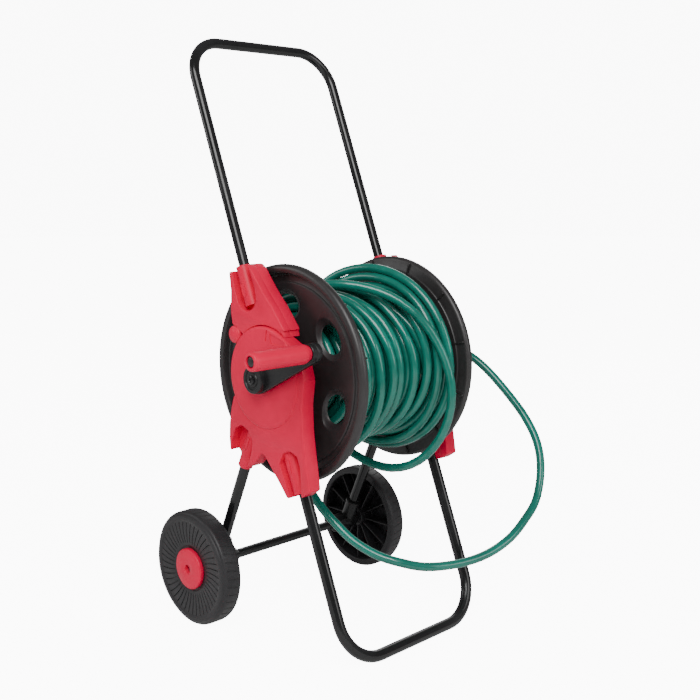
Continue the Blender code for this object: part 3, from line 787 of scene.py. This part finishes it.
# %% Lower brackets
DISC_R = 0.086
LOWER_FRONT = [(-0.075, 0.062), (-0.091, 0.034), (-0.099, 0.006), (-0.0935, -0.034), (-0.0955, -0.080),
               (-0.103, -0.130), (-0.110, -0.172), (-0.0930, -0.1835)]
FRONT_NOTCH = [(-0.0905, -0.1840), (-0.0895, -0.172), (-0.0875, -0.136), (-0.080, -0.118),
               (-0.063, -0.1125), (-0.0465, -0.119), (-0.037, -0.138), (-0.0605, -0.1885)]
LOWER_MIDDLE = [(-0.0600, -0.1925), (-0.055, -0.1928), (-0.040, -0.175), (0.002, -0.130),
                (0.010, -0.130), (0.030, -0.153), (0.044, -0.1605)]
REAR_NOTCH = [(0.0475, -0.1605), (0.036, -0.134), (0.032, -0.112), (0.043, -0.096), (0.061, -0.0895),
              (0.078, -0.098), (0.0885, -0.122), (0.0885, -0.1375)]
LOWER_REAR = [(0.0925, -0.1385), (0.095, -0.118), (0.0935, -0.090), (0.087, -0.062), (0.0805, -0.042)]
REAR_END = [(0.083, -0.168), (0.086, -0.142)]
FRONT_END = [(-0.092, -0.1845), (-0.056, -0.193)]


def make_lower_bracket(word, side):
    disc_edge = arc(DISC_R, -22, 124, 48)
    whole = LOWER_FRONT[:-1] + FRONT_END + LOWER_MIDDLE[2:-1] + [(0.050, -0.162)] + REAR_END + LOWER_REAR
    outer = disc_edge + rounded(LOWER_FRONT + FRONT_NOTCH + LOWER_MIDDLE + REAR_NOTCH + LOWER_REAR, 0.0035)
    inner = disc_edge + rounded(whole, 0.0035)
    body = plate(f"lower_bracket_{word}", outer, 0.1570, 0.1828, side, 0.0017)
    floor_layer = plate("floor_layer", inner, 0.1580, 0.1655, side, 0.0010, 0.0009)
    disc = turned("disc", [
        (0.0, 0.1580), (0.0860, 0.1580), (0.0860, 0.1812), (0.0856, 0.1828), (0.0846, 0.1840),
        (0.0830, 0.1847), (0.0800, 0.1850), (0.0500, 0.1853), (0.0, 0.1853)], DRUM, (side, 0, 0), 120)
    out = Vector((side, 0, 0))
    hub = rod("hub", 0.030, DRUM + out * 0.1405, DRUM + out * 0.1600, 72)
    front = barrel("front_barrel", side, 0.1650, -UP, 0.122, 0.1985, 0.0130)
    rear = barrel("rear_barrel", side, 0.1650, REAR, 0.101, 0.1810, 0.0128)
    ovals = [oval_mark("front_oval", side, -UP, 0.150, 0.170, 0.1788),
             oval_mark("rear_oval", side, REAR, 0.132, 0.170, 0.1786)]
    combine(body, [floor_layer, disc, hub, front, rear] + ovals, "UNION")
    bores = [tube_hole(side, LEG_X, -UP, LEG_R, LEG_START),
             tube_hole(side, REAR_LEG_X, REAR, REAR_LEG_R, REAR_LEG_START),
             rod("bush_bore", 0.0158, DRUM + out * 0.13, DRUM + out * 0.20)]
    combine(body, bores, "DIFFERENCE")
    slot = rounded([(-0.010, 0.062), (-0.013, 0.081), (-0.0105, 0.0815), (-0.0075, 0.0625)], 0.001)
    panel = rounded([(-0.021, 0.059), (-0.019, 0.0765), (-0.058, 0.0655), (-0.053, 0.0575)], 0.002)
    marks = [plate("slot", slot, 0.1828, 0.1900, side, 0.0003),
             plate("panel", panel, 0.1837, 0.1900, side, 0.0003)]
    combine(body, marks, "DIFFERENCE")
    return finish(body, "frame", red_moulding, "red_plastic", [f"side_bracket_{word}"], 30)


for word, side in SIDES:
    make_lower_bracket(word, side)

# %% Upper brackets
UPPER_BODY = [(0.084, 0.080), (0.088, 0.105), (0.087, 0.139), (0.0912, 0.169)]
UPPER_NOTCH = [(0.0845, 0.1705), (0.076, 0.138), (0.068, 0.1175), (0.056, 0.1085), (0.043, 0.1060),
               (0.029, 0.1125), (0.0205, 0.1260), (0.0250, 0.150), (0.0425, 0.1845)]
UPPER_FRONT = [(0.034, 0.1780), (0.004, 0.142), (-0.022, 0.116), (-0.050, 0.082)]


def make_upper_bracket(word, side):
    seat = arc(DISC_R + 0.001, 124, 50, 36)
    outer = seat + rounded(UPPER_BODY + UPPER_NOTCH + UPPER_FRONT, 0.004)
    inner = seat + rounded(UPPER_BODY + [(0.053, 0.184), (0.043, 0.1845)] + UPPER_FRONT, 0.004)
    body = plate(f"upper_bracket_{word}", outer, 0.1640, 0.1800, side, 0.0017)
    floor_layer = plate("floor_layer", inner, 0.1450, 0.1655, side, 0.0012)
    grip_tube = barrel("upper_barrel", side, 0.1645, UP, 0.124, 0.1925, 0.0128)
    oval = oval_mark("upper_oval", side, UP, 0.152, 0.170, 0.1782)
    combine(body, [floor_layer, grip_tube, oval], "UNION")
    out = Vector((side, 0, 0))
    room = rod("knob_room", 0.0159, KNOB + out * 0.1637, KNOB + out * 0.19, 64)
    combine(body, [tube_hole(side, HANDLE_X, UP, HANDLE_R, HANDLE_START), room], "DIFFERENCE")
    knob_middle = (KNOB.y - DRUM.y, KNOB.z - DRUM.z)
    lug = arc(0.0150, -150, 20, 24, knob_middle) + [(0.0860, 0.0950), (0.0665, 0.0810)]
    combine(body, [plate("lug", lug, 0.1500, 0.1634, side, 0.0008)], "UNION")
    return finish(body, "handle", red_moulding, "red_plastic", [f"handle_socket_{word}"], 30)


def make_knob(word, side):
    profile = [(0.0, 0.1836), (0.0040, 0.1834), (0.0075, 0.1828), (0.0098, 0.1820), (0.0106, 0.1812),
               (0.0118, 0.1812), (0.0136, 0.1802), (0.0148, 0.1785), (0.0153, 0.1762), (0.0153, 0.1650),
               (0.0147, 0.1642), (0.0048, 0.1640), (0.0048, 0.1484), (0.0044, 0.1480), (0.0, 0.1480)]
    knob = turned(f"pull_knob_{word}", profile, KNOB, (side, 0, 0), 64)
    return finish(knob, f"knob_{word}", red_moulding, "red_plastic", [f"lock_knob_{word}"])


for word, side in SIDES:
    make_upper_bracket(word, side)
    make_knob(word, side)

# %% [markdown]
# ## The drum sides
#
# Each side is a dished moulding: a rounded rim bead, a groove inside it, and a
# sloping web with six oval holes. A lathe profile gives all of that. Each hole
# is a shallow bowl that narrows towards the hose, so its cutter is turned too,
# then stretched to an oval. Inside, radial ribs stiffen the outer band.

# %% Drum sides
SIDE_PROFILE = [
    (0.0123, 0.1383), (0.0127, 0.1385), (0.0272, 0.1385), (0.0280, 0.1377), (0.0295, 0.1222),
    (0.0303, 0.1214), (0.0400, 0.1212), (0.0800, 0.1214), (0.1180, 0.1238), (0.1480, 0.1262),
    (0.1535, 0.1263), (0.1550, 0.1255), (0.1562, 0.1236), (0.1580, 0.1230), (0.1655, 0.1232),
    (0.1672, 0.1242), (0.1684, 0.1275), (0.1694, 0.1322), (0.1708, 0.1345), (0.1730, 0.1357),
    (0.1758, 0.1362), (0.1788, 0.1359), (0.1818, 0.1346), (0.1838, 0.1325), (0.1848, 0.1300),
    (0.1850, 0.1265), (0.1847, 0.1244), (0.1838, 0.1230), (0.1815, 0.1212), (0.1790, 0.1206),
    (0.1640, 0.1196), (0.1628, 0.1190), (0.1618, 0.1180), (0.1500, 0.1172), (0.1490, 0.1164),
    (0.1300, 0.1160), (0.0900, 0.1160), (0.0620, 0.1162), (0.0583, 0.1160), (0.0580, 0.1092),
    (0.0545, 0.1090), (0.0535, 0.1163), (0.0123, 0.1165)]
HOLES = 6
HOLE_START = 84                 # angle of the first hole
HOLE_PITCH = 0.1135             # from the drum axis to a hole's middle
BOWL_FOOT = 0.108               # where the bowl's cutter begins, inside the drum
BOWL_STRETCH = 0.36             # how much longer than high its mouth is
STRETCH_DEPTH = 0.012           # depth over which the stretch grows
BOWL = [                        # reach of the bowl's wall along the radius, and its height
    (0.0, BOWL_FOOT), (0.0205, BOWL_FOOT), (0.0205, 0.1168), (0.0209, 0.1176), (0.0222, 0.1190),
    (0.0244, 0.1208), (0.0262, 0.1224), (0.0272, 0.1236), (0.0284, 0.1245), (0.0305, 0.1254),
    (0.0310, 0.1400), (0.0, 0.1400)]


def make_drum_side(word, side):
    flange = turned(f"drum_side_{word}", SIDE_PROFILE, DRUM, (side, 0, 0), 168)
    cutters = []
    for i in range(HOLES):
        turn = radians(HOLE_START + 360 * i / HOLES)
        tool = turned("bowl", BOWL, (0, 0, 0), (side, 0, 0), 64)
        for vert in tool.data.vertices:
            depth = (abs(vert.co.x) - BOWL_FOOT) / STRETCH_DEPTH
            vert.co.y *= 1.0 + BOWL_STRETCH * min(1.0, max(0.0, depth))
        tool.rotation_euler = (turn - pi / 2, 0, 0)
        tool.location = DRUM + Vector((0, HOLE_PITCH * cos(turn), HOLE_PITCH * sin(turn)))
        settle(tool)
        cutters.append(tool)
    combine(flange, cutters, "DIFFERENCE")
    ribs = []
    for i in range(12):
        turn = 15 + 30 * i
        outline = rounded([(0.150, -0.0013), (0.181, -0.0016), (0.181, 0.0016), (0.150, 0.0013)], 0.0008)
        c, s = cos(radians(turn)), sin(radians(turn))
        outline = [(p.x * c - p.y * s, p.x * s + p.y * c) for p in outline]
        ribs.append(plate("rib", outline, 0.1166, 0.1215, side, 0.0004))
    combine(flange, ribs, "UNION")
    return finish(flange, "drum", drum_moulding, "black_plastic", [f"flange_{word}"], 28)


for word, side in SIDES:
    make_drum_side(word, side)

# %% [markdown]
# ## Wheels
#
# The wheel is one hollow moulding with a mock tyre. Its face is slightly dished
# and has 44 fine curved grooves, the shoulder stands proud as a ring, and the
# tread has shallow cross cuts. The back is open, with a hub, ribs and a rim. We
# spin the profile, then cut the grooves with copies of one curved blade.

# %% Wheel parts
WHEEL_PROFILE = [
    (0.0053, 0.0130), (0.0375, 0.0130), (0.0395, 0.0133), (0.0410, 0.0145), (0.0430, 0.0152),
    (0.0600, 0.0166), (0.0800, 0.0176), (0.0850, 0.0176), (0.0862, 0.0180), (0.0874, 0.0188),
    (0.0890, 0.0190), (0.0930, 0.0190), (0.0955, 0.0184), (0.0968, 0.0172), (0.0978, 0.0160),
    (0.0998, 0.0152), (0.1016, 0.0138), (0.1026, 0.0118), (0.1030, 0.0090), (0.1030, -0.0120),
    (0.1027, -0.0145), (0.1018, -0.0168), (0.1002, -0.0183), (0.0985, -0.0190), (0.0905, -0.0190),
    (0.0892, -0.0180), (0.0885, -0.0160), (0.0882, 0.0090), (0.0875, 0.0108), (0.0855, 0.0114),
    (0.0660, 0.0106), (0.0655, 0.0060), (0.0630, 0.0060), (0.0625, 0.0104), (0.0215, 0.0086),
    (0.0200, 0.0075), (0.0178, -0.0182), (0.0170, -0.0190), (0.0062, -0.0190), (0.0053, -0.0182)]


def spun_copies(name, first, count, axis_place):
    """One mesh of a tool and its copies, turned evenly round an axis along X."""
    made = [first]
    axis_place = Vector(axis_place)
    for i in range(1, count):
        again = bpy.data.objects.new(name, first.data.copy())
        bpy.context.scene.collection.objects.link(again)
        turn = Matrix.Rotation(2 * pi * i / count, 4, "X")
        again.data.transform(Matrix.Translation(axis_place) @ turn @ Matrix.Translation(-axis_place))
        made.append(again)
    bpy.ops.object.select_all(action="DESELECT")
    for obj in made:
        obj.select_set(True)
    bpy.context.view_layer.objects.active = first
    bpy.ops.object.join()
    return first


def groove_blade(centre, side):
    """A thin curved blade that cuts one groove in the wheel's face."""
    line = [(0.047, 0.0), (0.056, 0.0006), (0.065, 0.0018), (0.074, 0.0036), (0.081, 0.0056),
            (0.0845, 0.0068)]
    outline = [(r, t - 0.00085) for r, t in line] + [(r, t + 0.00085) for r, t in reversed(line)]
    return plate("blade", [(y - DRUM.y + centre.y, z - DRUM.z + centre.z) for y, z in outline],
                 abs(centre.x) + 0.0146, abs(centre.x) + 0.0215, side, 0.0003)


def back_rib(centre, side):
    """A radial rib in the wheel's open back, between hub and rim."""
    outline = [(0.0185, -0.0011), (0.0885, -0.0011), (0.0885, 0.0011), (0.0185, 0.0011)]
    return plate("rib", [(y - DRUM.y + centre.y, z - DRUM.z + centre.z) for y, z in outline],
                 abs(centre.x) - 0.0135, abs(centre.x) + 0.0095, side, 0.0004)


def make_wheel(word, side):
    centre = Vector((side * WHEEL_X, AXLE.y, AXLE.z))
    wheel = turned(f"wheel_{word}_moulding", WHEEL_PROFILE, centre, (side, 0, 0), 176)
    tread_cut = rod("tread_cut", 0.0011, centre + Vector((-side * 0.0170, 0.0, 0.1035)),
                    centre + Vector((side * 0.0140, 0.0072, 0.1030)), 12)
    combine(wheel, [spun_copies("blade", groove_blade(centre, side), 44, centre),
                    spun_copies("tread_cut", tread_cut, 44, centre)], "DIFFERENCE")
    combine(wheel, [spun_copies("rib", back_rib(centre, side), 12, centre)], "UNION")
    return finish(wheel, f"{word}_wheel", wheel_moulding, "wheel_plastic", [f"wheel_{word}"], 28)


def make_hub_cap(word, side):
    centre = Vector((side * WHEEL_X, AXLE.y, AXLE.z))
    profile = [(0.0074, 0.0134), (0.0366, 0.0134), (0.0369, 0.0140), (0.0369, 0.0188), (0.0364, 0.0203),
               (0.0352, 0.0213), (0.0330, 0.0219), (0.0200, 0.0227), (0.0096, 0.0228), (0.0082, 0.0224),
               (0.0074, 0.0214)]
    cap = turned(f"wheel_cap_{word}", profile, centre, (side, 0, 0), 96)
    return finish(cap, f"{word}_wheel", red_moulding, "red_plastic", [f"hub_cap_{word}"])


# %% Both wheels
for word, side in SIDES:
    make_wheel(word, side)
    make_hub_cap(word, side)

# %% [markdown]
# ## Axle tees
#
# A black moulding joins each rear leg to the axle: a square-shouldered sleeve
# along the axle, a round sleeve up the leg, and a collar where they meet.

# %% Axle tees
for word, side in SIDES:
    out = Vector((side, 0, 0))
    foot = DRUM + out * REAR_LEG_X
    bpy.ops.object.select_all(action="DESELECT")
    bpy.ops.mesh.primitive_cube_add(size=1, location=AXLE + Vector((side * 0.15425, 0, 0)),
                                    rotation=(atan2(REAR.y, -REAR.z), 0, 0))
    tee = bpy.context.object
    tee.name = f"tee_{word}"
    tee.scale = (0.0645, 0.027, 0.027)
    settle(tee)
    edges = tee.modifiers.new("Edges", "BEVEL")
    edges.width = 0.0045
    edges.segments = 4
    apply_all(tee)
    sleeve = rod("sleeve", 0.0138, foot + REAR * 0.345, foot + REAR * 0.394)
    collar = rod("collar", 0.0150, foot + REAR * 0.345, foot + REAR * 0.3495)
    combine(tee, [sleeve, collar], "UNION")
    combine(tee, [rod("bore", CROSS_R + 0.0005, AXLE + out * 0.10, AXLE + out * 0.1888),
                  rod("bore", REAR_LEG_R + 0.0005, foot + REAR * 0.33, foot + REAR * 0.3723)], "DIFFERENCE")
    rounding = tee.modifiers.new("Rounding", "BEVEL")
    rounding.width = 0.0007
    rounding.segments = 2
    rounding.angle_limit = radians(50)
    apply_all(tee)
    finish(tee, "frame", black_moulding, "black_plastic", [f"axle_tee_{word}"])

# %% [markdown]
# ## The crank
#
# The crank arm is a teardrop with a raised round boss, a step ring in it and a
# small hole where the screw sits. The grip is a red sleeve that turns on a pin:
# a lathe job with a chamfered end and a recess that shows the pin's grey head.

# %% Crank arm and grip
TIP = Vector((0, GRIP.y - DRUM.y, GRIP.z - DRUM.z))
TIP_TURN = degrees(atan2(TIP.z, TIP.y))


def teardrop(hub_r, tip_r):
    """Outline of two circles and their outer tangents."""
    opening = 90 - degrees(asin((hub_r - tip_r) / TIP.length))
    hub = arc(hub_r, TIP_TURN + opening, TIP_TURN + 360 - opening, 40)
    return hub + arc(tip_r, TIP_TURN - opening, TIP_TURN + opening, 24, (TIP.y, TIP.z))


arm = plate("crank_lever", teardrop(0.0250, 0.0155), 0.1880, 0.1978, -1, 0.0014)
boss = turned("boss", [
    (0.0, 0.1900), (0.0235, 0.1900), (0.0235, 0.2052), (0.0229, 0.2070), (0.0215, 0.2079),
    (0.0172, 0.2080), (0.0168, 0.2075), (0.0162, 0.2062), (0.0125, 0.2060), (0.0121, 0.2066),
    (0.0114, 0.2078), (0.0084, 0.2079), (0.0, 0.2079)], DRUM, (-1, 0, 0), 80)
eye = turned("eye", [(0.0, 0.1900), (0.0146, 0.1900), (0.0146, 0.2058), (0.0138, 0.2068), (0.0, 0.2068)],
             DRUM + TIP, (-1, 0, 0), 56)
combine(arm, [boss, eye], "UNION")
left = Vector((-1, 0, 0))
combine(arm, [rod("shaft_hole", 0.0123, DRUM + left * 0.180, DRUM + left * 0.1968),
              rod("screw_hole", 0.0043, DRUM + left * 0.17, DRUM + left * 0.22),
              rod("pin_hole", 0.0043, DRUM + TIP + left * 0.17, DRUM + TIP + left * 0.22)], "DIFFERENCE")
finish(arm, "drum", black_moulding, "black_plastic", ["crank_arm"], 30)

screw = turned("lever_screw", [
    (0.0, 0.2091), (0.0030, 0.2091), (0.0031, 0.2106), (0.0036, 0.2112), (0.0058, 0.2111),
    (0.0071, 0.2103), (0.0075, 0.2092), (0.0075, 0.2083), (0.0039, 0.2083), (0.0039, 0.1700),
    (0.0, 0.1700)], DRUM, (-1, 0, 0), 48)
finish(screw, "drum", black_enamel, "bare_steel", ["crank_screw"])

grip = turned("turning_grip", [
    (0.0043, 0.3158), (0.0088, 0.3158), (0.0092, 0.3162), (0.0092, 0.3194), (0.0097, 0.3199),
    (0.0112, 0.3200), (0.0126, 0.3196), (0.0138, 0.3186), (0.0144, 0.3170), (0.0147, 0.3100),
    (0.0155, 0.2200), (0.0155, 0.2165), (0.0152, 0.2155), (0.0128, 0.2086), (0.0124, 0.2077),
    (0.0115, 0.2073), (0.0043, 0.2073)],
    DRUM + TIP, (-1, 0, 0), 64)
finish(grip, "grip", red_moulding, "red_plastic", ["crank_grip"])
pin = turned("grip_rivet", [
    (0.0, 0.3191), (0.0040, 0.3190), (0.0066, 0.3186), (0.0077, 0.3179), (0.0080, 0.3172),
    (0.0080, 0.3163), (0.0040, 0.3163), (0.0040, 0.1885), (0.0, 0.1885)],
             DRUM + TIP, (-1, 0, 0), 48)
finish(pin, "drum", dark_steel, "bare_steel", ["grip_pin"])

# %% Finishes of the frame's own pieces
OWN_FINISH = {"black_enamel_tube": black_enamel, "bare_steel": zinc_plate, "black_plastic": black_moulding,
              "wheel_plastic": wheel_moulding, "red_plastic": red_moulding, "natural_nylon": nylon,
              "seal_rubber": seal_rubber, "green_hose": green_hose}
for part in frame["record"]["subparts"]:
    own = nodes[part["node"]]
    own.data.materials.clear()
    own.data.materials.append(OWN_FINISH[part["material_slot"]])
print("the frame's own pieces have their finishes")
